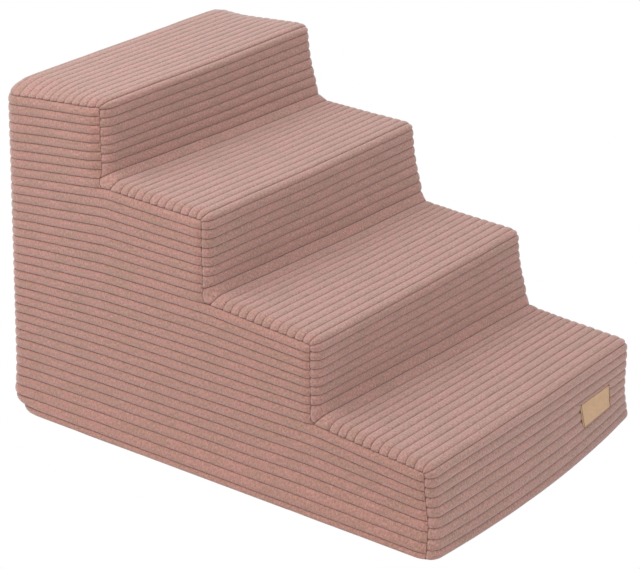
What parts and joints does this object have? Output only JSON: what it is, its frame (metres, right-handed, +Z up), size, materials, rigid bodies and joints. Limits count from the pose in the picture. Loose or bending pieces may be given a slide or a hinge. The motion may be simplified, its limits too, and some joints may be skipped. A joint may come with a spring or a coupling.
{
  "type": "foam pet stairs",
  "caption": "Stepped foam pet stairs in a wide-wale corduroy cover with a zipped back flap and a dark base cloth.",
  "frame": {"origin": "centre of the footprint at floor level, on the underside of the base cloth", "axes": "+Z up; +Y the way the pet climbs, from the lowest step to the tall back; X across the stairs"},
  "size_m": [0.4, 0.6033, 0.4],
  "materials": {
    "corduroy": "wide-wale cotton corduroy, matt pile, dusty pink",
    "base_cloth": "dark woven non-slip base cloth",
    "label_leather": "tan leatherette, bare, stitched at both ends",
    "foam": null,
    "zip_tape": "woven polyester tape dyed to match the cover",
    "zip_coil": "nylon coil dyed to match the cover",
    "zip_metal": "nickel-plated zinc"
  },
  "bodies": {
    "stairs": {"stair_panel": "corduroy", "left_side_panel": "corduroy", "right_side_panel": "corduroy", "back_flap": "corduroy", "back_lower_band": "corduroy", "base_panel": "base_cloth", "label": "label_leather", "foam_base_slab": "foam", "foam_second_slab": "foam", "foam_third_slab": "foam", "foam_top_slab": "foam", "zip_tape_outer": "zip_tape", "zip_tape_inner": "zip_tape", "zip_coil_outer": "zip_coil", "zip_coil_inner": "zip_coil", "zip_top_stop": "zip_metal", "zip_bottom_stop": "zip_metal"},
    "slider": {"zip_slider": "zip_metal"},
    "pull": {"zip_pull": "zip_metal"}
  },
  "joints": [
    {"name": "zip_run", "type": "slide", "parent": "stairs", "child": "slider", "axis": [0, 0, -1], "range_m": [0, 0.304]},
    {"name": "pull_swing", "type": "hinge", "parent": "slider", "child": "pull", "pos_m": [-0.166, 0.3014, 0.378], "axis": [1, 0, 0], "range_deg": [0, 180]}
  ]
}
